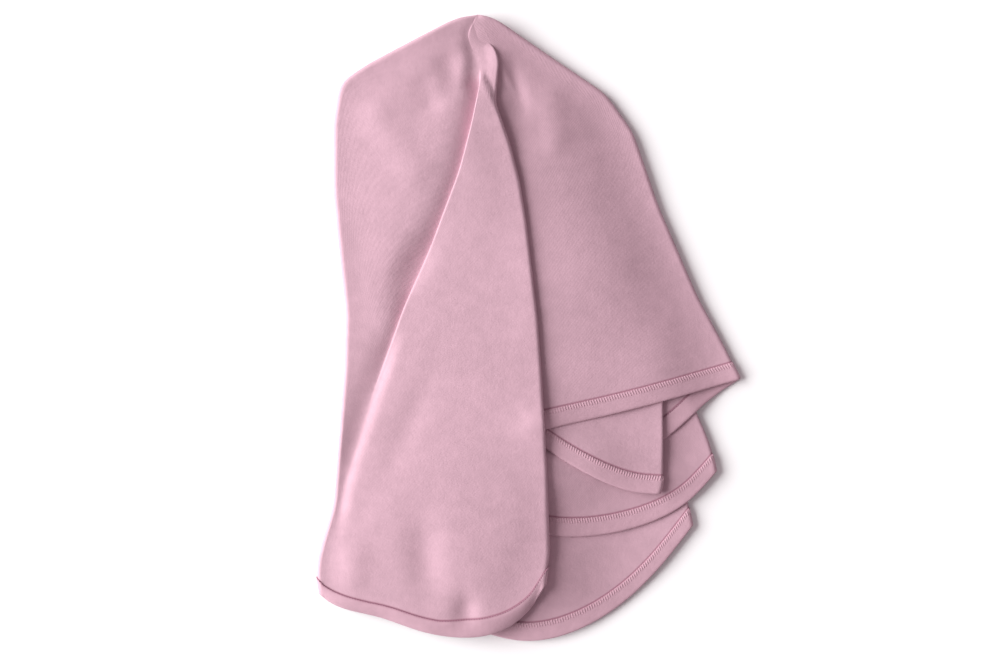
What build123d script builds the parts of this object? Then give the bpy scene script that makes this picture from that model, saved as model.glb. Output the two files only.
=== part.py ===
"""Soft knit baby wrap blanket, picked up near its centre and laid down in loose fan folds.

The blanket is one rectangular sheet with rounded corners and a bound edge. It lies in ten leaves,
one on another, that run from the peak at the top down to the hem. Each leaf turns into another at a
left fold and into a third at a right fold, so the ten leaves are one closed ring of cloth round the
peak. X is to the right, Y is up the pile towards the peak and Z is up from the surface it lies on.
"""

import os

from build123d import *

# Driving dimensions, in millimetres
CLOTH = 1.6  # thickness of the knit panel
PITCH = 4.0  # height from one leaf to the next
BINDING_WIDTH = 18.0  # finished width of the binding at the hem
BINDING_WRAP = 0.8  # the binding's own thickness over and under the panel
EDGE_GAP = 1.2  # the panel's raw edge stops this far inside the binding's fold
COVER_WIDTH = 5.6  # width of the looper thread's cover over the seam
NEEDLE_WIDTH = 0.8  # width of the row of needle stitches
THREAD_HEIGHT = 0.4  # how far the threads stand above the cloth
FOLD_WALL = 3.0  # thickness of the cloth where it turns over at a fold
TURN_RADIUS = 14.0  # reach of the binding's turn at the end of a fold
GATHER_RADIUS = 30.0  # all the leaves come together this near the peak

# The top of the peak, and the points beside it where the rounded peak runs into its two slopes
PEAK = (-49.0, 295.6)
PEAK_LEFT = (-64.4, 295.6)
PEAK_RIGHT = (-36.2, 295.6)

# Folds, each from its end at the hem up to the peak, with the two leaves that it joins and the
# radius of each of its corners. The leaves are counted from the one on the floor, 0, to the flap, 9.
FOLDS = {
    "outer_left": (
        0,
        9,
        [(-200, -236), (-184, -166), (-172.5, 10), (-184.5, 150), (-178, 234), PEAK_LEFT, PEAK],
        [200, 400, 300, 32, 50],
    ),
    "low_left": (1, 2, [(-120, -245), (-115, -50), (-92, 150), PEAK], [400, 400]),
    "middle_left": (3, 6, [(-70, -110), (-80, 60), PEAK], [400]),
    "inner_left": (4, 5, [(-25, -95), (-45, 80), PEAK], [400]),
    "flap_left": (7, 8, [(-95, -120), (-78, 60), PEAK], [400]),
    "low_right": (0, 1, [(154.6, -187.5), (149, -150), (110, 90), PEAK], [150, 300]),
    "middle_right": (2, 3, [(177, -136), (158, -79), (122, 70), PEAK], [200, 300]),
    "tongue_right": (
        5,
        6,
        [(121.5, -158), (125, -146), (124, -60), (90, 60), PEAK],
        [20, 200, 300],
    ),
    "front_right": (
        4,
        7,
        [(199.8, -48), (160, 28), (122, 116), (86, 209.5), PEAK_RIGHT, PEAK],
        [300, 300, 70, 36],
    ),
    "flap_right": (
        8,
        9,
        [(14.5, -241), (18, -200), (11, -48), (-4, 102), (-33, 216), (-29, 250), (-36, 268), PEAK],
        [150, 500, 500, 40, 20, 30],
    ),
}

# Hems, each from the leaf's left fold to its right fold, one for each leaf from the floor up
HEMS = [
    ("outer_left", [(-120, -250), (0, -265), (90, -235)], "low_right"),
    ("low_left", [(-90, -270), (-48, -287), (-10, -295.6), (60, -279), (115, -236)], "low_right"),
    ("low_left", [(-60, -205), (40, -172), (130, -150)], "middle_right"),
    ("middle_left", [(-38, -172), (20, -195), (85, -192), (150, -164)], "middle_right"),
    ("inner_left", [(20, -108), (80, -122), (127, -105), (172, -67)], "front_right"),
    ("inner_left", [(30, -104), (80, -136)], "tongue_right"),
    ("middle_left", [(-25, -94), (23, -118), (56, -137.5), (80, -148.5), (102, -154.5)], "tongue_right"),
    ("flap_left", [(-45, -107), (15, -94.5), (85, -79)], "front_right"),
    ("flap_left", [(-55, -205), (-14, -246)], "flap_right"),
    (
        "outer_left",
        [(-187, -259), (-145, -271), (-105, -284), (-62, -290.5), (-28, -284.5), (-2, -266)],
        "flap_right",
    ),
]

# The flap stands up from the rest of the uppermost leaf: its outline, from its tip down its crease and
# then round outside the leaf, and how far it stands up
FLAP_EDGE = [
    (-44.3, 239), (-59, 176), (-93.5, 55), (-121.5, 8), (-150, -67), (-173, -142), (-184, -166),
    (-220, -200), (-220, -320), (60, -320), (60, 172), (-18.5, 172),
]
FLAP_RISE = 2.4

FRONT = 7  # the leaf on the right, which tucks in under the flap
FLAP = 9  # the leaf on top

# The leaves whose hem shows the looper side of the stitching upwards, and those that show the needle side
LOOPER_LEAVES = (1, 3, 6, 7)
NEEDLE_LEAVES = (0, 2, 4, 5, 8, 9)


def leaf_base(leaf):
    """Height of a leaf's underside. The lowest leaf lies on the surface."""
    return 0.0 if leaf == 0 else BINDING_WRAP + leaf * PITCH


def leaf_top(leaf):
    """Height of a leaf's upper side."""
    return BINDING_WRAP + leaf * PITCH + CLOTH


def hem_points(leaf):
    """The points of a leaf's hem, with the ends of the two folds that it runs between."""
    left, middle, right = HEMS[leaf]
    return [FOLDS[left][2][0], *middle, FOLDS[right][2][0]]


def fold_line(fold):
    """The line of a fold: straight runs with rounded corners."""
    _, _, points, radii = FOLDS[fold]
    return FilletPolyline(*points, radius=radii)


def leaf_outline(leaf):
    """A leaf's outline: along its hem, up its right fold to the peak and down its left fold."""
    left, _, right = HEMS[leaf]
    with BuildSketch() as outline:
        with BuildLine():
            Spline(*hem_points(leaf))
            fold_line(right)
            fold_line(left)
        make_face()
    return outline.sketch


def hem_band(leaf, outer, inner):
    """The strip of a leaf that lies between two distances in from its hem."""
    with BuildSketch() as band:
        with BuildLine() as hem:
            Spline(*hem_points(leaf))
        trace(hem.line, line_width=2 * inner)
        if outer > 0:
            trace(hem.line, line_width=2 * outer, mode=Mode.SUBTRACT)
        add(leaf_outline(leaf), mode=Mode.INTERSECT)
    return band.sketch


def gather():
    """The tip of the pile, where all the leaves come together at the point they are picked up by."""
    with BuildSketch() as tip:
        with Locations(PEAK):
            Circle(GATHER_RADIUS)
        add(leaf_outline(FLAP) + leaf_outline(FRONT), mode=Mode.INTERSECT)
    return tip.sketch


def flap_top():
    """The flap within its binding, from the crease on its left to the fold on its right."""
    with BuildSketch() as flap:
        with BuildLine():
            Polyline(*FLAP_EDGE, close=True)
        make_face()
        add(leaf_outline(FLAP), mode=Mode.INTERSECT)
        add(hem_band(FLAP, 0, BINDING_WIDTH), mode=Mode.SUBTRACT)
    return flap.sketch


def fold_wall(fold):
    """The strip along a fold, where the cloth turns from one leaf to the other."""
    lower, upper, _, _ = FOLDS[fold]
    with BuildSketch() as wall:
        with BuildLine() as crease:
            fold_line(fold)
        trace(crease.line, line_width=2 * FOLD_WALL)
        add(leaf_outline(lower), mode=Mode.INTERSECT)
        add(leaf_outline(upper), mode=Mode.INTERSECT)
        add(gather(), mode=Mode.SUBTRACT)
    return wall.sketch


def fold_turn(fold):
    """The place at the end of a fold where the binding turns from one hem to the other."""
    lower, upper, points, _ = FOLDS[fold]
    with BuildSketch() as turn:
        with Locations(points[0]):
            Circle(TURN_RADIUS)
        add(leaf_outline(lower), mode=Mode.INTERSECT)
        add(leaf_outline(upper), mode=Mode.INTERSECT)
    return turn.sketch


with BuildPart() as knit_panel:
    for leaf in range(len(HEMS)):
        with BuildSketch(Plane.XY.offset(leaf_base(leaf))):
            add(leaf_outline(leaf))
            add(hem_band(leaf, 0, EDGE_GAP), mode=Mode.SUBTRACT)
        extrude(amount=leaf_top(leaf) - leaf_base(leaf))
    for fold, (lower, upper, _, _) in FOLDS.items():
        with BuildSketch(Plane.XY.offset(leaf_base(lower))):
            add(fold_wall(fold))
            add(hem_band(lower, 0, EDGE_GAP), mode=Mode.SUBTRACT)
            add(hem_band(upper, 0, EDGE_GAP), mode=Mode.SUBTRACT)
        extrude(amount=leaf_top(upper) - leaf_base(lower))
    with BuildSketch():
        add(gather())
    extrude(amount=leaf_top(FLAP))
    with BuildSketch(Plane.XY.offset(leaf_base(FLAP))):
        add(flap_top())
    extrude(amount=CLOTH + FLAP_RISE)

with BuildPart() as edge_binding:
    for leaf in range(len(HEMS)):
        underside = max(leaf_base(leaf) - BINDING_WRAP, 0)
        with BuildSketch(Plane.XY.offset(underside)):
            add(hem_band(leaf, 0, BINDING_WIDTH))
        extrude(amount=leaf_top(leaf) + BINDING_WRAP - underside)
    for fold, (lower, upper, _, _) in FOLDS.items():
        with BuildSketch(Plane.XY.offset(leaf_base(lower))):
            add(fold_turn(fold))
        extrude(amount=leaf_top(upper) - leaf_base(lower))
    add(knit_panel.part, mode=Mode.SUBTRACT)

with BuildPart() as looper_thread:
    for leaf in LOOPER_LEAVES:
        with BuildSketch(Plane.XY.offset(leaf_top(leaf) + BINDING_WRAP)):
            add(hem_band(leaf, BINDING_WIDTH - COVER_WIDTH, BINDING_WIDTH))
        extrude(amount=THREAD_HEIGHT)
    add([knit_panel.part, edge_binding.part], mode=Mode.SUBTRACT)

with BuildPart() as needle_thread:
    for leaf in NEEDLE_LEAVES:
        with BuildSketch(Plane.XY.offset(leaf_top(leaf) + BINDING_WRAP)):
            add(hem_band(leaf, BINDING_WIDTH - NEEDLE_WIDTH, BINDING_WIDTH))
        extrude(amount=THREAD_HEIGHT)
    add([knit_panel.part, edge_binding.part], mode=Mode.SUBTRACT)

os.makedirs("parts", exist_ok=True)
knit_panel.part.label = "knit_panel"
export_step(knit_panel.part, "parts/knit_panel.step")
edge_binding.part.label = "edge_binding"
export_step(edge_binding.part, "parts/edge_binding.step")
looper_thread.part.label = "looper_thread"
export_step(looper_thread.part, "parts/looper_thread.step")
needle_thread.part.label = "needle_thread"
export_step(needle_thread.part, "parts/needle_thread.step")
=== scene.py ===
import math

import bpy
import numpy as np
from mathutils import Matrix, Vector


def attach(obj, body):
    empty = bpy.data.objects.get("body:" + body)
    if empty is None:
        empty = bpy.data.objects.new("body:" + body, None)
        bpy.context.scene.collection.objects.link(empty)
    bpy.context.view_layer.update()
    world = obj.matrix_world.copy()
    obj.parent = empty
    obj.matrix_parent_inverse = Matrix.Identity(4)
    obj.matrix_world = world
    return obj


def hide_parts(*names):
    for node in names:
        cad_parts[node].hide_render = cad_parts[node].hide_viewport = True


# A baby wrap blanket: one sheet of bound knit that lies in ten leaves, one on another. Each leaf runs
# into two others at the folds at its sides, so the sheet is one closed ring round its peak. The middle
# of the cloth is worked out first, and the panel, its binding and its stitching are built on it.

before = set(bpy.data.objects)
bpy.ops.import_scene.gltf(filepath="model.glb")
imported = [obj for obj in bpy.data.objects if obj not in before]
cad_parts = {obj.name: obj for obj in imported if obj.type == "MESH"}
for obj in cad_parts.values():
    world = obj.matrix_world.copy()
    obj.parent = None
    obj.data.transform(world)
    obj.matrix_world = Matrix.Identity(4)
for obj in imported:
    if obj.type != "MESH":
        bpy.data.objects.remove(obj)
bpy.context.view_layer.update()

MM = 0.001

# The cloth, in millimetres
CLOTH = 1.3  # thickness of the knit
LOFT = 1.9  # height from one leaf's middle to the next where they lie close
FLOOR = 2.6  # height of the lowest leaf's middle over the floor
BINDING_WIDTH = 18.0
BINDING_HALF = 1.45  # half the thickness of the bound edge
COVER_WIDTH = 5.6  # width of the looper thread's cover over the seam
STITCH = 2.5  # length of one stitch
THREAD = 0.42  # radius of the thread

# The folds of part.py, with more points where the cloth's edge shows: the two leaves that each one
# joins, its points from the hem up to the peak, and how far its corners are rounded
PEAK = (-49.0, 295.6)
FOLDS = {
    "outer_left": (
        0,
        9,
        [(-197, -252), (-200.5, -236), (-199.5, -220), (-196, -205), (-184, -166), (-174, -40),
         (-172.5, 15), (-184.5, 130), (-184, 195), (-178, 231), (-154, 247.5), (-84, 285), (-73, 291),
         (-62, 294.8), PEAK],
        7,
    ),
    "low_left": (1, 2, [(-120, -236), (-112, -100), (-84, 60), (-60, 190), PEAK], 25),
    "middle_left": (3, 6, [(-70, -110), (-66, 60), (-50, 190), PEAK], 25),
    "inner_left": (4, 5, [(-25, -95), (-40, 80), PEAK], 25),
    "flap_left": (
        7,
        8,
        [(-100, -108), (-92, -50), (-64, 60), (-41, 190), (-38, 225), (-46, 248), (-60, 275), PEAK],
        7,
    ),
    "low_right": (0, 1, [(154.6, -187.5), (149, -160), (134, -100), (70, 70), PEAK], 16),
    "middle_right": (2, 3, [(177, -136), (172, -112), (158, -79), (90, 60), PEAK], 10),
    "tongue_right": (5, 6, [(122.5, -156), (125.5, -146), (125.5, -52), (72, 60), PEAK], 5),
    "front_right": (
        4,
        7,
        [(199.8, -48), (182, -12), (160, 28), (122, 116), (98, 186), (72, 222), (-20, 284),
         (-28, 289.5), (-37, 294.2), PEAK],
        7,
    ),
    "flap_right": (
        8,
        9,
        [(14.5, -241), (18.5, -210), (16.5, -150), (11, -48), (7, 8), (-4, 102), (-10, 139),
         (-18.5, 172), (-32, 211), (-31, 229), (-29, 250), (-32, 262), (-40, 271), PEAK],
        3,
    ),
}

# Hems, one for each leaf from the floor up: its left fold, the points between and its right fold
HEMS = [
    ("outer_left", [(-120, -258), (0, -265), (90, -235)], "low_right"),
    ("low_left", [(-90, -270), (-48, -287), (-10, -295.6), (60, -279), (115, -236)], "low_right"),
    ("low_left", [(-60, -205), (40, -172), (130, -150)], "middle_right"),
    ("middle_left", [(-38, -172), (20, -195), (85, -192), (150, -164)], "middle_right"),
    ("inner_left", [(20, -108), (80, -122), (127, -105), (172, -67)], "front_right"),
    ("inner_left", [(30, -104), (80, -136)], "tongue_right"),
    (
        "middle_left",
        [(-25, -94), (23, -118), (56, -137.5), (80, -148.5), (102, -154.5)],
        "tongue_right",
    ),
    ("flap_left", [(-70, -108), (15, -94.5), (85, -79)], "front_right"),
    ("flap_left", [(-98, -180), (-60, -225), (-14, -248)], "flap_right"),
    (
        "outer_left",
        [(-187, -259), (-145, -271), (-105, -284), (-62, -290.5), (-28, -284.5), (-2, -266)],
        "flap_right",
    ),
]

FRONT = 7  # the leaf on the right, which tucks in under the flap
CREASED = 9  # the uppermost leaf, which has the flap

# The sharp crease that parts the flap from the left of the uppermost leaf, from the hem up to the peak
TIP = (-44.3, 239)
CREASE = [(-178, -262), (-181, -215), (-182, -178), (-174, -147), (-148.5, -67), (-118, 17),
          (-92, 75), (-80, 108), (-65.5, 146), (-53.5, 192), TIP, (-48, 254), (-49, 274), PEAK]

# The crease's section, across it from left to right: offset, where that place moves to, and how far it
# is pushed down, as a negative number
CREASE_SECTION = [
    (-40, -40, 0), (-28, -28, -0.3), (-20, -20, -1.0), (-14, -13.8, -2.2), (-9, -8.2, -4.2),
    (-5, -2.8, -6.6), (-3, 0.2, -7.4), (-1.8, 1.6, -6.8), (-0.8, 1.5, -5.0), (0, 0.3, -2.4),
    (0.4, -0.3, -1.4), (0.8, -0.5, -0.7), (1.3, -0.1, -0.15), (1.9, 0.6, 0), (4, 3.1, 0), (7, 6.8, 0),
    (12, 12, 0),
]
# How strong the crease is at each height up the pile
CREASE_STRENGTH = [(-70, 0), (-20, 0.4), (25, 0.95), (70, 0.95), (110, 0.75), (240, 0.75)]
CREASE_FADE = 14  # the crease gains its strength over this distance down from the flap's tip

# The flap's tip: its right edge, walked down from the tip, and how far it stands up
TIP_RIGHT = [TIP, (-35.3, 219.5), (-18.3, 172.5)]
TIP_HEIGHT = 3.5

# How far the flap's hem curls under: X along the hem and the angle in radians
CURL_START = 18.5  # the cloth curls from this far in from its edge
CURL = [
    (-199, 0), (-192, 1.1), (-150, 1.4), (-125, 1.15), (-85, 1.1), (-60, 0.5), (-35, 0.4), (0, 0.9),
    (12, 0),
]
LEAST_CURL = 0.01  # the angle of a hem that lies flat, so that its radius stays finite

# How the leaves settle on each other
BRIDGE = 7  # reach of the gaps that a leaf bridges
SMOOTH = 4  # reach of the smoothing that follows
BOUND_LIFT = 1.8  # how much more room a bound edge takes than the plain cloth
BOUND_RAMP = 3  # the cloth comes down from a bound edge over this distance
SINK = 0.4  # how far a leaf may sink into the leaves beneath it
BEND = (0.8, 3.5)  # the least and the most that the cloth's bend at a fold reaches in from its edge

# How the leaves come together at the peak, in distances from it
SPREAD = (25, 55)  # the leaves part between these distances
GATHERED = 0.06  # the share of their spacing that they keep nearer the peak
PEAK_REGION = (46, 22)  # each leaf's own air gives way to the peak's between these distances
PEAK_JOIN = 7  # all the leaves run to one height this near the peak

# The leaves in the order that the cloth runs through them, with 1 for each one that is passed from left
# to right and -1 for each one that is passed from right to left
RING = [(0, 1), (1, -1), (2, 1), (3, -1), (6, 1), (5, -1), (4, 1), (7, -1), (8, 1), (9, -1)]
HIDDEN = (0, 2, 5, 8)  # leaves that hardly show
LOOPER_UP = (1, 3, 6, 7)  # leaves that show the looper side of the seam from above

# Rows of the cloth's grid along the hem, by distance in from the edge, and from there to the peak
BAND_ROWS = [0.0, 0.6, 1.4, 3.0, 5.5, 8.5, 11.5, 14.0, 16.0, 17.2, 18.0, 18.8, 20.0, 22.0, 25.0]
BODY_ROWS = 120
EDGE_ROWS = 2  # rows at the edge that only the binding has

# Columns of the grid beside a fold and beside the crease, by distance from it, and between them
FOLD_COLUMNS = [0.35, 1.1, 2.2, 3.7, 5.6, 8.0, 11.0, 15.0]
CREASE_COLUMNS = [0.4, 0.8, 1.3, 1.9, 2.6, 3.6, 5.0, 7.0, 9.5]
COLUMN_STEP = 2.8
HIDDEN_STEP = 6.5  # the same on the leaves that hardly show
LEFT_COLUMNS = 36  # on the creased leaf, left of the crease
FLAP_COLUMNS = 74  # and right of it

CELL = 2.0  # size of a cell of the height maps


# Numbers


def ramp(values, start, end):
    """From 0 at one value to 1 at another in a straight line, and flat beyond them."""
    return np.clip((values - start) / (end - start), 0, 1)


def ease(share):
    """The same share from 0 to 1 with a soft start and end."""
    return share * share * (3 - 2 * share)


def gaussian(half, reach):
    """Weights of a Gaussian blur over this many places on each side, with its reach in places."""
    weights = np.exp(-0.5 * (np.arange(-half, half + 1) / reach) ** 2)
    return weights / weights.sum()


# Curves in the plane of the floor


def along(points):
    """Distance of each point of a line from its start."""
    steps = np.linalg.norm(np.diff(points, axis=0), axis=1)
    return np.concatenate([[0.0], np.cumsum(steps)])


def resample(points, count):
    """The line again, as evenly spaced points."""
    points = np.asarray(points, float)
    length = along(points)
    at = np.linspace(0, length[-1], count)
    return np.stack([np.interp(at, length, points[:, k]) for k in range(points.shape[1])], axis=1)


def rounded(points, reach, count=240):
    """A line through the points with its corners rounded, and its two ends where they were."""
    line = resample(points, count)
    step = along(line)[-1] / (count - 1)
    half = int(3 * reach / step) + 1
    before = 2 * line[0] - line[half:0:-1]
    after = 2 * line[-1] - line[-2 : -half - 2 : -1]
    padded = np.vstack([before, line, after])
    weights = gaussian(half, reach / step)
    smooth = np.stack([np.convolve(padded[:, k], weights, "valid") for k in range(2)], axis=1)
    return resample(smooth, count)


def spline(points, count=240):
    """A natural cubic spline through the points."""
    points = np.asarray(points, float)
    knots = along(points)
    gaps = np.diff(knots)
    size = len(points)
    system = np.eye(size)
    right = np.zeros_like(points)
    for i in range(1, size - 1):
        system[i, i - 1 : i + 2] = gaps[i - 1], 2 * (gaps[i - 1] + gaps[i]), gaps[i]
        turn = (points[i + 1] - points[i]) / gaps[i] - (points[i] - points[i - 1]) / gaps[i - 1]
        right[i] = 6 * turn
    bend = np.linalg.solve(system, right)
    at = np.linspace(0, knots[-1], count)
    i = np.clip(np.searchsorted(knots, at, "right") - 1, 0, size - 2)
    gap = gaps[i][:, None]
    a = ((knots[i + 1] - at) / gaps[i])[:, None]
    b = 1 - a
    curve = ((a**3 - a) * bend[i] + (b**3 - b) * bend[i + 1]) * gap**2 / 6
    return resample(a * points[i] + b * points[i + 1] + curve, count)


FOLD_LINES = {name: rounded(points, reach) for name, (_, _, points, reach) in FOLDS.items()}
HEM_LINES = [
    spline([FOLDS[left][2][0], *middle, FOLDS[right][2][0]]) for left, middle, right in HEMS
]
CREASE_LINE = rounded(CREASE, reach=8)


def nearest(points, line):
    """For each point: its distance to the line, where on the line that is, and the side, + on the left."""
    best = np.full(len(points), 1e9)
    where = np.zeros(len(points))
    side = np.ones(len(points))
    for k in range(len(line) - 1):
        start, step = line[k], line[k + 1] - line[k]
        t = np.clip(((points - start) @ step) / max(step @ step, 1e-9), 0, 1)
        away = points - start - t[:, None] * step
        far = np.hypot(away[:, 0], away[:, 1])
        closer = far < best
        best[closer] = far[closer]
        where[closer] = k + t[closer]
        cross = step[0] * away[:, 1] - step[1] * away[:, 0]
        side[closer] = np.sign(cross[closer])
    return best, where, side


# Height maps: each leaf settles on the leaves beneath it

MAP_X = np.arange(-230, 231, CELL)
MAP_Y = np.arange(-326, 327, CELL)
GRID_X, GRID_Y = np.meshgrid(MAP_X, MAP_Y)
GRID = np.stack([GRID_X.ravel(), GRID_Y.ravel()], axis=1)


def inside(outline):
    """Which cells of the map lie within a closed outline."""
    found = np.zeros(len(GRID), bool)
    ends = np.roll(outline, -1, axis=0)
    for (x0, y0), (x1, y1) in zip(outline, ends):
        if y0 == y1:
            continue
        spans = (y0 > GRID[:, 1]) != (y1 > GRID[:, 1])
        crossing = x0 + (GRID[:, 1] - y0) * (x1 - x0) / (y1 - y0)
        found ^= spans & (GRID[:, 0] < crossing)
    return found.reshape(GRID_X.shape)


def blur(values, reach):
    """Gaussian blur of a map, with its reach in millimetres."""
    half = int(3 * reach / CELL) + 1
    weights = gaussian(half, reach / CELL)
    values = np.pad(values, half, mode="edge")
    values = np.apply_along_axis(np.convolve, 0, values, weights, "valid")
    return np.apply_along_axis(np.convolve, 1, values, weights, "valid")


def blur_within(values, mask, reach):
    """Blur that takes no height from outside the mask."""
    share = blur(mask.astype(float), reach)
    return blur(values * mask, reach) / np.maximum(share, 1e-6)


def settle(support, mask, times=8):
    """A soft sheet's height over its support: it bridges small gaps and ramps down past edges."""
    height = support.copy()
    for _ in range(times):
        height = np.maximum(support, blur_within(height, mask, BRIDGE))
    return blur_within(height, mask, SMOOTH)


def ridge(line, left, right, height, fade=30.0):
    """A ridge along a line, or a valley where height is negative, that falls away over the distances left
    and right of the line as it is walked, and fades out towards its ends."""
    line = rounded(line, reach=8, count=60) if len(line) > 2 else resample(line, count=20)
    far, where, side = nearest(GRID, line)
    width = np.where(side > 0, left, right)
    length = along(line)[-1]
    walked = where / (len(line) - 1) * length
    ends = ease(ramp(np.minimum(walked, length - walked), 0, fade))
    over = height * np.exp(-((far / width) ** 2)) * ends
    return over.reshape(GRID_X.shape)


def dome(x, y, wide, long, height, turn=0.0):
    """A soft rounded hill, or a hollow where height is negative, turned by an angle in degrees."""
    c, s = math.cos(math.radians(turn)), math.sin(math.radians(turn))
    dx, dy = GRID_X - x, GRID_Y - y
    a, b = (dx * c + dy * s) / wide, (dy * c - dx * s) / long
    return height * np.exp(-(a * a) - b * b)


def ripple(seed, size, height):
    """Gentle unevenness over the whole map, with waves of this size."""
    waves = blur(np.random.default_rng(seed).normal(size=GRID_X.shape), size)
    return height * waves / np.abs(waves).max()


def fold_distance(name):
    """Distance of each cell from a fold."""
    return nearest(GRID, FOLD_LINES[name])[0].reshape(GRID_X.shape)


def hem_distance(leaf):
    """Distance of each cell from a leaf's hem."""
    return nearest(GRID, HEM_LINES[leaf])[0].reshape(GRID_X.shape)


def rise(distance, reach, power=1.2):
    """From 0 at an edge towards 1 well away from it, most of the way within its reach."""
    return 1 - np.exp(-((distance / reach) ** power))


def shown(edge):
    """1 below a height up the pile, where a lower leaf shows, and 0 well above it."""
    return ramp(GRID_Y, edge + 20, edge - 20)


def tucked():
    """0 well under the flap and 1 where the leaves beneath it come out from its right edge."""
    return ease(ramp(GRID_X, -50, 10))


def front_air():
    """The front leaf swells between its right fold and the flap, and comes down towards its hem."""
    height = np.interp(GRID_Y, (60, 160), (26, 22))
    reach = np.interp(GRID_Y, (120, 240), (56, 38))
    height = height * rise(fold_distance("front_right") / reach, 1, 1.5)
    height *= 0.6 + 0.4 * rise(hem_distance(FRONT), 40)
    height *= 0.7 + 0.3 * ramp(GRID_X, -90, 0)
    return 3 + height


def flap_air():
    """The uppermost leaf rises from its left fold, and comes down towards its hem and on the right."""
    from_left = fold_distance("outer_left")
    reach = np.interp(GRID_Y, (-200, -120), (28, 11))
    height = 19 + 4 * rise(from_left / reach, 1) + 12 * rise(from_left, 90)
    height *= 0.65 + 0.35 * rise(hem_distance(CREASED), 40)
    height *= 0.7 + 0.3 * rise(fold_distance("front_right"), 40)
    return height * (0.62 + 0.38 * rise(fold_distance("flap_right"), 10, 1))


# Air under the leaves that show: the least height over the floor that each one keeps, in millimetres
AIR = {
    1: lambda: shown(-170) * tucked() * (20 - 0.14 * GRID_X) * rise(hem_distance(1), 28),
    3: lambda: shown(-100) * tucked() * (30 - 0.19 * GRID_X) * rise(hem_distance(3), 25),
    6: lambda: shown(-60) * tucked() * (28 - 0.12 * GRID_X),
    FRONT: front_air,
    CREASED: flap_air,
}

# How far over the leaves beneath it a leaf floats
LIFT = {CREASED: 2.5}


def front_shape():
    """The front leaf's folds below the peak, beside the hook and to the right of it."""
    beside_hook = ridge([(-20, 262), (-12, 225), (-2, 190)], left=7, right=12, height=-3)
    below_peak = ridge([(20, 240), (23, 190), (24, 150)], left=14, right=14, height=2)
    return beside_hook + below_peak + ripple(7, 18, 2.0)


def left_shape():
    """The soft folds of the uppermost leaf to the left of its crease."""
    under_hook = ridge([(-51, 292), (-52, 272), (-51, 248), (-54, 214)], 18, 8, -5, fade=16)
    down_from_peak = ridge([(-76, 266), (-75, 244), (-70, 212)], 12, 14, -3.5, fade=16)
    further_left = ridge([(-100, 244), (-90, 196)], 10, 15, -2, fade=14)
    across = ridge([(-155, 218), (-120, 165), (-92, 132)], 16, 16, 2, fade=25)
    beside_crease = dome(-110, 60, 13, 30, -4, -30)
    crease_foot = ridge([(-182, -200), (-174, -147), (-148.5, -67), (-122, 5)], 15, 5, -4.5, fade=40)
    return under_hook + crease_foot + beside_crease + down_from_peak + further_left + across


def flap_shape():
    """The soft hollows and swells in the lower half of the flap."""
    above_hem = dome(-98, -212, 16, 36, -3.5, 6)
    at_hem = dome(-60, -264, 10, 13, -4)
    left_corner = dome(-168, -222, 16, 28, 3)
    middle = dome(-112, -88, 13, 45, -1.5, -25)
    return above_hem + at_hem + left_corner + middle


# The shape of each leaf beyond how it settles
SHAPES = {
    1: lambda: ripple(1, 14, 1.5),
    2: lambda: ripple(2, 16, 2.0),
    3: lambda: ripple(3, 14, 1.2),
    4: lambda: ripple(4, 14, 1.0),
    6: lambda: ripple(6, 12, 0.8),
    FRONT: front_shape,
    CREASED: lambda: left_shape() + flap_shape() + ripple(9, 24, 1.0),
}


def peak_air():
    """The height that the leaves which show keep at the peak: least along its two slopes."""
    slope = np.minimum(fold_distance("outer_left"), fold_distance("front_right"))
    return 5 + 17 * rise(slope, 20)


def height_maps():
    """The height of each leaf's middle over the floor."""
    masks, heights, bound = [], [], []
    from_peak = np.hypot(GRID_X - PEAK[0], GRID_Y - PEAK[1])
    apart = GATHERED + (1 - GATHERED) * ease(ramp(from_peak, *SPREAD))
    at_peak = ramp(from_peak, *PEAK_REGION)
    over_peak = peak_air()
    for leaf, (left, _, right) in enumerate(HEMS):
        outline = np.vstack([HEM_LINES[leaf], FOLD_LINES[right][1:], FOLD_LINES[left][-2:0:-1]])
        mask = inside(outline)
        support = np.full(GRID_X.shape, FLOOR)
        for below in range(leaf):
            lifted = heights[below] + apart * LOFT + BOUND_LIFT * bound[below]
            support = np.where(masks[below] & (lifted > support), lifted, support)
        cushion = support + apart * LIFT.get(leaf, 0)
        if leaf in AIR:
            cushion = np.maximum(cushion, AIR[leaf]() * (1 - at_peak) + over_peak * at_peak)
        height = settle(cushion, mask)
        if leaf in SHAPES:
            height = height + SHAPES[leaf]()
        height = np.maximum(height, support - SINK)
        masks.append(mask)
        bound.append(ramp(hem_distance(leaf), BINDING_WIDTH + BOUND_RAMP, BINDING_WIDTH))
        heights.append(np.maximum(blur_within(height, mask, CELL), FLOOR))
    tuck_fold(heights)
    return heights


def tuck_fold(heights):
    """Beside the peak the flap's right fold lies just under the front leaf, where it doesn't show."""
    near_fold = ramp(fold_distance("flap_right"), 14, 0)
    near_peak = ramp(GRID_Y, 263, 271)
    under_front = heights[FRONT] - 0.9
    for leaf in FOLDS["flap_right"][:2]:
        heights[leaf] += ease(near_fold * near_peak) * (under_front - heights[leaf])


def sample(height, points):
    """A height map's value at points, by linear interpolation."""
    x = np.clip((points[:, 0] - MAP_X[0]) / CELL, 0, len(MAP_X) - 1.001)
    y = np.clip((points[:, 1] - MAP_Y[0]) / CELL, 0, len(MAP_Y) - 1.001)
    i, j = x.astype(int), y.astype(int)
    a, b = x - i, y - j
    lower = height[j, i] * (1 - a) + height[j, i + 1] * a
    upper = height[j + 1, i] * (1 - a) + height[j + 1, i + 1] * a
    return lower * (1 - b) + upper * b


# The sheet as one ring of columns, each running from the peak to the hem


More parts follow.
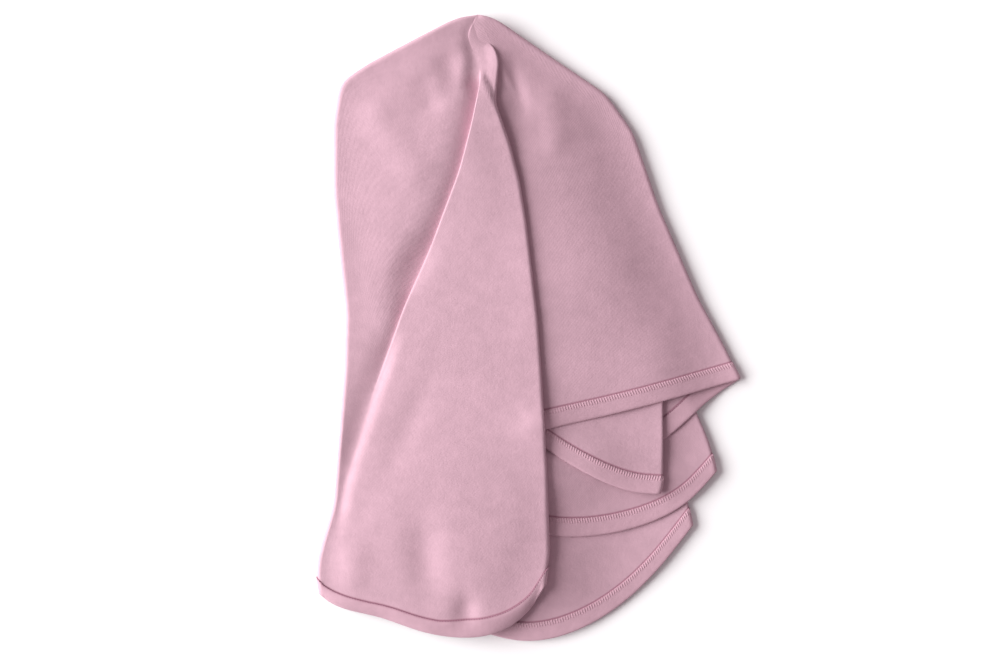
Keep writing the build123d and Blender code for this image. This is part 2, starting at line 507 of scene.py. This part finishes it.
def span(start, end, near_start, near_end, count):
    """Shares of the way across from one line to another, columns by rows, at fixed distances from both
    lines and evenly between. Where the lines are close the distances shrink. Also gives the lines'
    distance from each other and the scale of that shrinking, row by row."""
    width = np.maximum(np.linalg.norm(end - start, axis=1), 1e-6)
    near_start, near_end = np.array(near_start)[:, None], np.array(near_end)[:, None]
    scale = np.minimum(1, width / (3 * (near_start[-1] + near_end[-1])))
    first, last = near_start * scale / width, 1 - near_end[::-1] * scale / width
    even = np.linspace(0, 1, count + 1)[1:-1, None]
    middle = first[-1] * (1 - even) + last[0] * even
    return np.vstack([0 * width, first, middle, last, 0 * width + 1]), width, scale


def stretch(start, end, hem, near_start, near_end, count):
    """The columns of a leaf between two lines that run from the peak to the hem, with their feet on the
    hem, each place's distance from the first line before any shrinking, and the scale of that."""
    share, width, scale = span(start, end, near_start, near_end, count)
    foot = share[:, -1]
    spots = np.linspace(0, 1, len(hem))
    feet = np.stack([np.interp(foot, spots, hem[:, k]) for k in range(2)], axis=1)
    straight = (1 - foot[:, None]) * start[-1] + foot[:, None] * end[-1]
    blend = (np.linspace(0, 1, len(start)) ** 2.5)[None, :, None]
    grid = (1 - share[..., None]) * start + share[..., None] * end
    return grid + blend * (feet - straight)[:, None], share * width / scale, scale


def column_count(leaf, width):
    """How many spaces the columns of a leaf leave between them: fewer where it hardly shows."""
    step = HIDDEN_STEP if leaf in HIDDEN else COLUMN_STEP
    return max(2, int(width / step))


def leaf_plan(leaf):
    """Where a leaf's grid lies on the floor, columns by rows by x and y, and how far each place stands
    above the leaf's own height, which only the leaf with the crease and the curled hem gives."""
    left, _, right = HEMS[leaf]
    hem = HEM_LINES[leaf]
    left_line, right_line = FOLD_LINES[left][::-1], FOLD_LINES[right][::-1]
    if leaf == CREASED:
        return creased_plan(left_line, right_line, hem)
    count = column_count(leaf, along(hem)[-1])
    fine, _, _ = stretch(left_line, right_line, hem, FOLD_COLUMNS, FOLD_COLUMNS, count)
    flat = np.zeros(fine.shape[:2])
    return even_rows(fine, flat, np.zeros(len(fine)))


def creased_plan(left_line, right_line, hem):
    """The same for the leaf with the crease. Its columns run along the crease, and its hem curls under."""
    crease = CREASE_LINE[::-1].copy()
    _, where, _ = nearest(crease[-1:], hem)
    foot = int(round(where[0]))
    # Only the crease's foot moves on to the hem, and the rest of it stays where it is
    crease += (np.linspace(0, 1, len(crease)) ** 8)[:, None] * (hem[foot] - crease[-1])
    left_hem, right_hem = resample(hem[: foot + 1], count=60), resample(hem[foot:], count=200)
    on_left, from_left, left_scale = stretch(
        left_line, crease, left_hem, FOLD_COLUMNS, CREASE_COLUMNS, LEFT_COLUMNS
    )
    on_right, from_crease, right_scale = stretch(
        crease, right_line, right_hem, CREASE_COLUMNS, FOLD_COLUMNS, FLAP_COLUMNS
    )
    sides = (len(on_left) - 1, len(on_right))
    fine = np.vstack([on_left[:-1], on_right])
    offset = np.vstack([from_left[:-1] - from_left[-1], from_crease])
    scale = np.repeat([left_scale, right_scale], sides, axis=0)
    across = np.repeat([crease - left_line, right_line - crease], sides, axis=0)
    across /= np.maximum(np.linalg.norm(across, axis=2, keepdims=True), 1e-6)
    places, moved, depth = np.array(CREASE_SECTION, float).T
    strength = crease_strength(crease) * scale
    shift = np.interp(offset, places, moved - places) * strength
    fine = fine + across * shift[..., None]
    relief = np.interp(offset, places, depth) * strength + wedge(fine, offset)
    curl = np.interp(fine[:, -1, 0], *np.array(CURL).T)
    return even_rows(fine, relief, curl)


def wedge(fine, offset):
    """The tip of the flap stands up between its crease and its right edge."""
    points = fine.reshape(-1, 2)
    far, _, side = nearest(points, resample(TIP_RIGHT, count=12))
    top, foot = TIP[1], TIP_RIGHT[-1][1]
    within_edge = ramp(side * far, 1.5, -1.5)
    above_foot = ramp(points[:, 1], foot - 10, foot + 15)
    below_top = ramp(points[:, 1], top + 1, top - 5)
    on_flap = ramp(offset, -1.8, 0)
    return (TIP_HEIGHT * within_edge * above_foot * below_top).reshape(fine.shape[:2]) * on_flap


def crease_strength(crease):
    """How strong the crease is along its length: nothing above the flap's tip and at its lower end."""
    down = crease[:, 1]
    below_tip = ease(ramp(down, TIP[1], TIP[1] - CREASE_FADE))
    return below_tip * np.interp(down, *np.array(CREASE_STRENGTH).T)


def even_rows(fine, relief, curl):
    """The grid and its relief again, with the rows evenly down each column, but for the rows along the
    hem. These keep the same distances from the edge in every column, and curl under by its angle."""
    rows, reliefs = [], []
    band = np.array(BAND_ROWS[::-1])
    for column, over, angle in zip(fine, relief, curl):
        length = along(column)
        radius = CURL_START / max(angle, LEAST_CURL)
        turned = np.maximum(CURL_START - band, 0) / radius
        on_curl = radius * (math.sin(CURL_START / radius) - np.sin(turned))
        inward = np.maximum(band - CURL_START, 0) + on_curl
        drop = radius * (1 - np.cos(turned))
        body = np.linspace(0, length[-1] - inward[0], BODY_ROWS + 1)[:-1]
        at = np.concatenate([body, length[-1] - inward])
        rows.append(np.stack([np.interp(at, length, column[:, k]) for k in range(2)], axis=1))
        reliefs.append(np.interp(at, length, over) - np.concatenate([0 * body, drop]))
    return np.array(rows), np.array(reliefs)


def fold_profile(name, heights):
    """Along a fold: the height of its edge, and how far from the edge each leaf bends round to it."""
    lower, upper, _, _ = FOLDS[name]
    line = FOLD_LINES[name]
    low, high = sample(heights[lower], line), sample(heights[upper], line)
    gap = np.maximum(high - low, CLOTH)
    half = 12
    gap = np.convolve(np.pad(gap, half, mode="edge"), gaussian(half, 5), "valid")
    return (low + high) / 2, gap / 2


def leaf_heights(leaf, plan, heights):
    """The height of each point of a leaf's grid, bent round to the folds at its sides."""
    points = plan.reshape(-1, 2)
    height = sample(heights[leaf], points)
    left, _, right = HEMS[leaf]
    drop = np.zeros(len(points))
    for name in (left, right):
        middle, bend = fold_profile(name, heights)
        far, where, _ = nearest(points, FOLD_LINES[name])
        spots = np.arange(len(middle))
        edge = np.interp(where, spots, middle)
        reach = np.clip(np.interp(where, spots, bend), *BEND)
        past_edge = ramp(far, 0, reach)
        share = 1 - np.sqrt(np.clip(1 - (1 - past_edge) ** 2, 0, 1))
        drop += (height - drop - edge) * share
    return (height - drop).reshape(plan.shape[:2])


def build_ring():
    """The middle of the cloth as columns by rows by x, y and z, and the leaf that each column is in."""
    heights = height_maps()
    columns, leaves = [], []
    for leaf, way in RING:
        plan, relief = leaf_plan(leaf)
        z = np.maximum(leaf_heights(leaf, plan, heights) + relief, FLOOR)
        grid = np.concatenate([plan, z[..., None]], axis=2)[::way]
        columns.append(grid[:-1])
        leaves += [leaf] * (len(grid) - 1)
    return join_at_peak(np.concatenate(columns)), np.array(leaves)


def join_at_peak(points):
    """The ring's points with one height for all the leaves at the peak."""
    peak_height = points[:, 0, 2].mean()
    from_peak = np.hypot(points[..., 0] - PEAK[0], points[..., 1] - PEAK[1])
    own = 1 - (1 - ramp(from_peak, 0, PEAK_JOIN)) ** 2
    points[..., 2] = peak_height + (points[..., 2] - peak_height) * own
    return points


RING_POINTS, RING_LEAVES = build_ring()
COLUMNS, ROWS = RING_POINTS.shape[:2]


def ring_normals(points):
    """Normals of the ring's surface. They point up on leaves passed right to left."""
    round_ring = np.roll(points, -1, axis=0) - np.roll(points, 1, axis=0)
    down = np.gradient(points, axis=1)
    normal = np.cross(round_ring, down)
    return normal / np.maximum(np.linalg.norm(normal, axis=2, keepdims=True), 1e-9)


RING_NORMALS = ring_normals(RING_POINTS)
WAY = {leaf: way for leaf, way in RING}


def flat_places():
    """Where each point of the ring was on the flat sheet: its distance from the peak and its angle.
    The angles are measured part of the way down, where every leaf is well spread."""
    steps = np.linalg.norm(np.diff(RING_POINTS, axis=1), axis=2)
    far = np.concatenate([np.zeros((COLUMNS, 1)), np.cumsum(steps, axis=1)], axis=1)
    probe = int(ROWS * 0.6)
    turn = np.linalg.norm(np.roll(RING_POINTS, -1, axis=0) - RING_POINTS, axis=2)[:, probe]
    angle = np.concatenate([[0.0], np.cumsum(turn / far[:, probe])[:-1]])
    angle *= 2 * math.pi / (turn / far[:, probe]).sum()
    return far, angle


FAR, ANGLE = flat_places()


# Meshes


def make_object(name, points, faces):
    """A smooth-shaded object from points in millimetres and the faces between them."""
    mesh = bpy.data.meshes.new(name)
    mesh.from_pydata((np.asarray(points) * MM).tolist(), [], faces)
    mesh.validate()
    mesh.update()
    mesh.polygons.foreach_set("use_smooth", [True] * len(mesh.polygons))
    made = bpy.data.objects.new(name, mesh)
    bpy.context.scene.collection.objects.link(made)
    return made


def grid_faces(columns, rows, closed_rows=False):
    """Faces of a grid that is closed round its columns, and round its rows where asked."""
    c, r = np.meshgrid(np.arange(columns), np.arange(rows if closed_rows else rows - 1), indexing="ij")
    next_c, next_r = (c + 1) % columns, (r + 1) % rows
    corners = [c * rows + r, next_c * rows + r, next_c * rows + next_r, c * rows + next_r]
    return np.stack([k.ravel() for k in corners], axis=1).tolist()


def add_values(piece, name, values):
    """Stores one number for each point of a piece, for its material to read."""
    layer = piece.data.attributes.new(name, "FLOAT", "POINT")
    layer.data.foreach_set("value", np.asarray(values, float))


def add_cloth_places(piece, x, y):
    """Stores where each point was on the flat cloth, so that the knit runs as it does in the cloth."""
    places = np.stack([x, y, np.zeros_like(x)], axis=-1)
    layer = piece.data.attributes.new("cloth", "FLOAT_VECTOR", "POINT")
    layer.data.foreach_set("vector", (places.reshape(-1, 3) * MM).ravel())


def painted_seam_shade(distance):
    """How much painted shade of the seam's groove a place gets, from its distance in from the hem."""
    middle, reach = BINDING_WIDTH + 0.3, 0.75
    return np.exp(-(((distance - middle) / reach) ** 2))


def make_panel():
    """The knit panel: the whole ring, its raw edge just inside the binding's fold."""
    points = RING_POINTS[:, :-EDGE_ROWS]
    rows = points.shape[1]
    piece = make_object("blanket_panel", points.reshape(-1, 3), grid_faces(COLUMNS, rows))
    band = BAND_ROWS[EDGE_ROWS:][::-1]
    distance = np.full((COLUMNS, rows), 100.0)  # anywhere well away from the seam
    distance[:, rows - len(band):] = band
    # The seam values say where the painted shade of the seam's groove falls.
    add_values(piece, "seam", painted_seam_shade(distance).ravel())
    far, angle = FAR[:, :rows], ANGLE[:, None]
    add_cloth_places(piece, far * np.cos(angle), far * np.sin(angle))
    thick = piece.modifiers.new("thickness", "SOLIDIFY")
    thick.thickness = CLOTH * MM
    thick.offset = 0
    return piece


# The binding's upper side: distance in from the edge, and height as a share of half its thickness
SECTION = [
    (18.15, 0.30), (17.9, 0.62), (17.3, 0.86), (16.0, 0.97), (12.5, 0.98), (8.0, 1.0), (4.0, 1.0),
    (2.0, 0.96), (0.9, 0.80), (0.25, 0.48), (0.0, 0.0),
]
# Painted shade: the binding gets this share of the seam groove's painted shade.
BINDING_SEAM_SHADE = 0.8  # how dark the seam is on the binding, as a share of how dark it is on the panel


def on_band(columns, distance, lift):
    """Points on given columns, at a distance in from the hem and at a height over the cloth's middle."""
    band = RING_POINTS[:, ::-1][:, : len(BAND_ROWS)]
    normals = RING_NORMALS[:, ::-1][:, : len(BAND_ROWS)]
    columns = np.asarray(columns, float) % COLUMNS
    i = columns.astype(int) % COLUMNS
    j = (i + 1) % COLUMNS
    a = (columns - np.floor(columns))[:, None]
    rows = np.interp(distance, BAND_ROWS, np.arange(len(BAND_ROWS)))
    k = np.clip(np.floor(rows).astype(int), 0, len(BAND_ROWS) - 2)
    b = (rows - k)[:, None]

    def blend(values):
        """Values between those of the four grid points round each place."""
        near = values[i, k] * (1 - b) + values[i, k + 1] * b
        far = values[j, k] * (1 - b) + values[j, k + 1] * b
        return near * (1 - a) + far * a

    normal = blend(normals)
    normal /= np.maximum(np.linalg.norm(normal, axis=1, keepdims=True), 1e-9)
    return blend(band) + normal * np.asarray(lift)[:, None]


def make_binding():
    """The binding: one strip folded over the edge, swept round the whole ring."""
    section = SECTION + [(distance, -height) for distance, height in SECTION[-2::-1]]
    columns = np.arange(COLUMNS)
    sides = []
    for distance, height in section:
        lift = np.full(COLUMNS, height * BINDING_HALF)
        sides.append(on_band(columns, np.full(COLUMNS, distance), lift))
    points = np.stack(sides, axis=1).reshape(-1, 3)
    piece = make_object("blanket_binding", points, grid_faces(COLUMNS, len(section), True))
    distances = np.tile([distance for distance, _ in section], (COLUMNS, 1))
    # The seam values say where the painted shade of the seam's groove falls.
    add_values(piece, "seam", painted_seam_shade(distances).ravel() * BINDING_SEAM_SHADE)
    run = along(np.vstack([RING_POINTS[:, -1], RING_POINTS[:1, -1]]))[:-1]
    add_cloth_places(piece, np.tile(run[:, None], len(section)), distances)
    return piece


# Stitching

SURFACE = BINDING_HALF * 0.98  # the binding's surface over the cloth's middle
BULGE = 0.22  # how far a thread rises between its ends
LOOPER_THREAD = THREAD * 1.6  # radius of a rung, which is a bundle of thread
RUNG_TOP = BINDING_WIDTH - 0.15  # where a rung starts, in from the edge
RUNG_HEIGHT = SURFACE - 0.5  # its ends are drawn into the binding
RUNG_LEAN = 0.18  # how far its ends lean along the seam, in stitches
RUNG_UNEVEN = 0.12  # unevenness of the rungs' places across the seam
NEEDLE_THREAD = THREAD * 0.8
NEEDLE_ROW = BINDING_WIDTH - 0.1
NEEDLE_HEIGHT = SURFACE * 0.9 - 0.05  # drawn into the seam's groove
NEEDLE_STITCH = (0.08, 0.92)  # where in a stitch's length its thread shows


def tubes(name, lines, radius, sides=6):
    """Many short threads as one piece. lines is threads by points by x, y and z."""
    count, length = lines.shape[:2]
    run = np.gradient(lines, axis=1)
    run /= np.maximum(np.linalg.norm(run, axis=2, keepdims=True), 1e-9)
    no_run = np.array([0.31, 0.17, 0.94])  # a direction that no thread runs in
    away = np.cross(run, no_run)
    away /= np.maximum(np.linalg.norm(away, axis=2, keepdims=True), 1e-9)
    other = np.cross(run, away)
    turns = np.linspace(0, 2 * math.pi, sides, endpoint=False)
    thin = np.ones(length)
    thin[[0, -1]] = 0.45  # each thread narrows at its ends
    ring = away[:, :, None] * np.cos(turns)[None, None, :, None]
    ring = ring + other[:, :, None] * np.sin(turns)[None, None, :, None]
    points = (lines[:, :, None] + ring * (radius * thin)[None, :, None, None]).reshape(-1, 3)
    t, p, s = np.meshgrid(np.arange(count), np.arange(length - 1), np.arange(sides), indexing="ij")
    base = (t * length + p) * sides
    next_s = (s + 1) % sides
    quads = [base + s, base + next_s, base + sides + next_s, base + sides + s]
    faces = np.stack([q.ravel() for q in quads], axis=1).tolist()
    for thread in range(count):
        first = thread * length * sides
        last = first + (length - 1) * sides
        faces.append([first + k for k in range(sides)][::-1])
        faces.append([last + k for k in range(sides)])
    return make_object(name, points, faces)


def stitch_places():
    """The column at each stitch, and which side of the cloth, + or -, carries the looper's cover there."""
    seam = RING_POINTS[:, ROWS - 1 - BAND_ROWS.index(BINDING_WIDTH)]
    run = along(np.vstack([seam, seam[:1]]))
    count = int(run[-1] / STITCH)
    at = np.arange(count) * run[-1] / count
    columns = np.interp(at, run, np.arange(COLUMNS + 1))
    leaves = RING_LEAVES[columns.astype(int) % COLUMNS]
    top = np.array([-WAY[leaf] for leaf in leaves])
    looper = np.where(np.isin(leaves, LOOPER_UP), top, -top)
    return columns, looper


def make_stitching():
    """The looper thread's rungs on one side of the seam and the needle's stitches on the other."""
    columns, side = stitch_places()
    step = np.diff(np.append(columns, COLUMNS))
    uneven = np.random.default_rng(5).normal(0, RUNG_UNEVEN, len(columns))
    rungs = []
    for share in np.linspace(0, 1, 7):
        distance = RUNG_TOP - share * COVER_WIDTH + uneven
        lift = side * (RUNG_HEIGHT + BULGE * math.sin(math.pi * share))
        lean = step * (RUNG_LEAN * math.cos(math.pi * share))
        rungs.append(on_band(columns + lean, distance, lift))
    looper = tubes("blanket_looper", np.stack(rungs, axis=1), LOOPER_THREAD)
    dashes = []
    row = np.full(len(columns), NEEDLE_ROW)
    for share in np.linspace(*NEEDLE_STITCH, 5):
        lift = -side * (NEEDLE_HEIGHT + BULGE * math.sin(math.pi * share))
        dashes.append(on_band(columns + step * share, row, lift))
    needle = tubes("blanket_needle", np.stack(dashes, axis=1), NEEDLE_THREAD)
    return looper, needle


# Materials


class Nodes:
    """Short names for making and joining a material's nodes."""

    def __init__(self, name):
        self.material = bpy.data.materials.new(name)
        self.material.use_nodes = True
        self.tree = self.material.node_tree
        self.shader = self.tree.nodes["Principled BSDF"]

    def add(self, kind, values=None, **settings):
        """A node of this kind, with values for its sockets and settings of its own."""
        node = self.tree.nodes.new(kind)
        for key, value in settings.items():
            setattr(node, key, value)
        for key, value in (values or {}).items():
            node.inputs[key].default_value = value
        return node

    def join(self, start, end):
        """Leads an output into an input."""
        self.tree.links.new(start, end)

    def math(self, operation, first, second):
        """The result of some arithmetic on two numbers or sockets."""
        node = self.add("ShaderNodeMath", operation=operation)
        for socket, value in zip(node.inputs, (first, second)):
            if isinstance(value, (int, float)):
                socket.default_value = value
            else:
                self.join(value, socket)
        return node.outputs[0]


def linear(red, green, blue):
    """A colour given in sRGB, 0 to 255, as the linear colour that shaders use."""
    parts = [c / 255 for c in (red, green, blue)]
    return [c / 12.92 if c <= 0.04045 else ((c + 0.055) / 1.055) ** 2.4 for c in parts] + [1.0]


# Colours, in sRGB
PANEL_PINK = (203, 166, 179)
BINDING_PINK = (202, 164, 177)
# painted shade: the dark colour of the seam's groove, where it lies in shadow
SEAM_SHADE_PINK = (140, 84, 104)
LOOPER_PINK = (202, 160, 174)
# the needle thread's colour, partly its own and partly darkened as painted shade of the seam's groove it
# lies in
NEEDLE_THREAD_AND_SHADE_PINK = (180, 130, 150)


def knit_material(name, colour, wale):
    """Brushed interlock knit: fine wales and courses, a soft nap, slightly uneven dye, and painted shade
    darkening the seam's groove. wale is the distance from one wale to the next in millimetres."""
    n = Nodes(name)
    places = n.add("ShaderNodeAttribute", attribute_name="cloth")
    split = n.add("ShaderNodeSeparateXYZ")
    n.join(places.outputs["Vector"], split.inputs[0])

    def wave(axis, spacing):
        """Ridges across one axis of the flat cloth."""
        turns = n.math("MULTIPLY", split.outputs[axis], 2 * math.pi / (spacing * MM))
        return n.math("SINE", turns, 0.0)

    wales, courses = wave(0, wale), wave(1, wale * 0.8)
    loops = n.math("ADD", n.math("MULTIPLY", wales, 0.6), n.math("MULTIPLY", courses, 0.4))
    nap = n.add("ShaderNodeTexNoise", {"Scale": 1500.0, "Detail": 4.0, "Roughness": 0.7})
    pill = n.add("ShaderNodeTexNoise", {"Scale": 320.0, "Detail": 3.0, "Roughness": 0.6})
    mottle = n.add("ShaderNodeTexNoise", {"Scale": 14.0, "Detail": 3.0, "Roughness": 0.55})
    dye = n.add("ShaderNodeTexNoise", {"Scale": 90.0, "Detail": 4.0, "Roughness": 0.6})
    coordinates = n.add("ShaderNodeTexCoord")
    for texture in (nap, pill, mottle, dye):
        n.join(coordinates.outputs["Object"], texture.inputs["Vector"])

    height = n.math("MULTIPLY", loops, 0.25)
    height = n.math("ADD", height, n.math("MULTIPLY", nap.outputs["Fac"], 0.9))
    height = n.math("ADD", height, n.math("MULTIPLY", pill.outputs["Fac"], 1.3))
    bump = n.add("ShaderNodeBump", {"Strength": 0.55, "Distance": 0.00035})
    n.join(height, bump.inputs["Height"])
    n.join(bump.outputs[0], n.shader.inputs["Normal"])

    base = linear(*colour)
    darker = [c * 0.86 for c in base[:3]] + [1.0]
    broad, fine = (n.math("MULTIPLY", noise.outputs["Fac"], 0.5) for noise in (mottle, dye))
    shade = n.math("ADD", broad, fine)
    contrast = n.add("ShaderNodeMapRange", {"From Min": 0.35, "From Max": 0.65})
    n.join(shade, contrast.inputs["Value"])
    dyed = n.add("ShaderNodeMix", data_type="RGBA")
    n.join(contrast.outputs[0], dyed.inputs["Factor"])
    dyed.inputs["A"].default_value = darker
    dyed.inputs["B"].default_value = base
    # Painted shade: the colour darkens towards the seam's dark pink along the seam's groove, as its shadow
    # would.
    seam = n.add("ShaderNodeAttribute", attribute_name="seam")
    painted_groove = n.add("ShaderNodeMix", data_type="RGBA")
    n.join(n.math("MULTIPLY", seam.outputs["Fac"], 0.9), painted_groove.inputs["Factor"])
    n.join(dyed.outputs["Result"], painted_groove.inputs["A"])
    painted_groove.inputs["B"].default_value = linear(*SEAM_SHADE_PINK)
    n.join(painted_groove.outputs["Result"], n.shader.inputs["Base Color"])

    rough = n.add("ShaderNodeMapRange", {"To Min": 0.82, "To Max": 0.95})
    n.join(pill.outputs["Fac"], rough.inputs["Value"])
    n.join(rough.outputs[0], n.shader.inputs["Roughness"])
    n.shader.inputs["Specular IOR Level"].default_value = 0.2
    n.shader.inputs["Sheen Weight"].default_value = 0.03
    n.shader.inputs["Sheen Roughness"].default_value = 0.45
    n.shader.inputs["Sheen Tint"].default_value = linear(255, 226, 236)
    return n.material


def thread_material(name, colour):
    """Soft spun thread with a fine twist."""
    n = Nodes(name)
    coordinates = n.add("ShaderNodeTexCoord")
    fluff = n.add("ShaderNodeTexNoise", {"Scale": 2500.0, "Detail": 3.0})
    n.join(coordinates.outputs["Object"], fluff.inputs["Vector"])
    base = linear(*colour)
    mix = n.add("ShaderNodeMix", data_type="RGBA")
    n.join(fluff.outputs["Fac"], mix.inputs["Factor"])
    mix.inputs["A"].default_value = [c * 0.85 for c in base[:3]] + [1.0]
    mix.inputs["B"].default_value = base
    n.join(mix.outputs["Result"], n.shader.inputs["Base Color"])
    bump = n.add("ShaderNodeBump", {"Strength": 0.5, "Distance": 0.0001})
    n.join(fluff.outputs["Fac"], bump.inputs["Height"])
    n.join(bump.outputs[0], n.shader.inputs["Normal"])
    n.shader.inputs["Roughness"].default_value = 0.75
    n.shader.inputs["Sheen Weight"].default_value = 0.2
    return n.material


# The blanket

panel = make_panel()
panel.data.materials.append(knit_material("knit", PANEL_PINK, 1.2))
binding = make_binding()
binding.data.materials.append(knit_material("binding_knit", BINDING_PINK, 1.1))
looper, needle = make_stitching()
looper.data.materials.append(thread_material("looper_thread", LOOPER_PINK))
needle.data.materials.append(thread_material("needle_thread", NEEDLE_THREAD_AND_SHADE_PINK))

for piece, node, slot in (
    (panel, "knit_panel", "knit"),
    (binding, "edge_binding", "binding"),
    (looper, "looper_thread", "thread"),
    (needle, "needle_thread", "thread"),
):
    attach(piece, "root")
    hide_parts(node)


# The stage: a plain pale floor, soft studio light and the camera straight above


def make_floor():
    """A plain pale floor under the blanket."""
    half = 3000  # half its width
    corners = [(-half, -half, 0), (half, -half, 0), (half, half, 0), (-half, half, 0)]
    floor = make_object("floor", corners, [(0, 1, 2, 3)])
    n = Nodes("pale_floor")
    n.shader.inputs["Base Color"].default_value = (0.95, 0.95, 0.95, 1)
    n.shader.inputs["Roughness"].default_value = 0.9
    n.shader.inputs["Specular IOR Level"].default_value = 0.1
    floor.data.materials.append(n.material)


def soft_sun(name, toward, softness, strength):
    """A wide studio light far off. toward is the azimuth and the elevation that it comes from, and
    softness how wide it looks from the blanket, all in degrees."""
    data = bpy.data.lights.new(name, "SUN")
    data.angle = math.radians(softness)
    data.energy = strength
    light = bpy.data.objects.new(name, data)
    bpy.context.scene.collection.objects.link(light)
    azimuth, elevation = (math.radians(angle) for angle in toward)
    flat = math.cos(elevation)
    place = Vector((flat * math.cos(azimuth), flat * math.sin(azimuth), math.sin(elevation)))
    light.rotation_euler = place.to_track_quat("Z", "Y").to_euler()


def make_world():
    """Even light from all round, slightly pink."""
    world = bpy.data.worlds.new("studio")
    world.use_nodes = True
    background = world.node_tree.nodes["Background"]
    background.inputs["Color"].default_value = (1, 0.85, 0.905, 1)
    background.inputs["Strength"].default_value = 0.35
    bpy.context.scene.world = world
    bpy.context.scene.view_settings.view_transform = "Standard"


def make_camera():
    """The camera straight above, in metres: where the photograph's centre falls, and how much it shows."""
    centre = (-0.0277, -0.0047)
    height = 1.7
    cloth_height = 0.02  # about the middle of the pile
    view_width = 0.94
    data = bpy.data.cameras.new("camera")
    data.sensor_width = 36
    data.lens = data.sensor_width * (height - cloth_height) / view_width
    camera = bpy.data.objects.new("camera", data)
    camera.location = (*centre, height)
    bpy.context.scene.collection.objects.link(camera)
    bpy.context.scene.camera = camera


make_floor()
soft_sun("key", toward=(172, 25), softness=55, strength=6.4)
make_world()
make_camera()
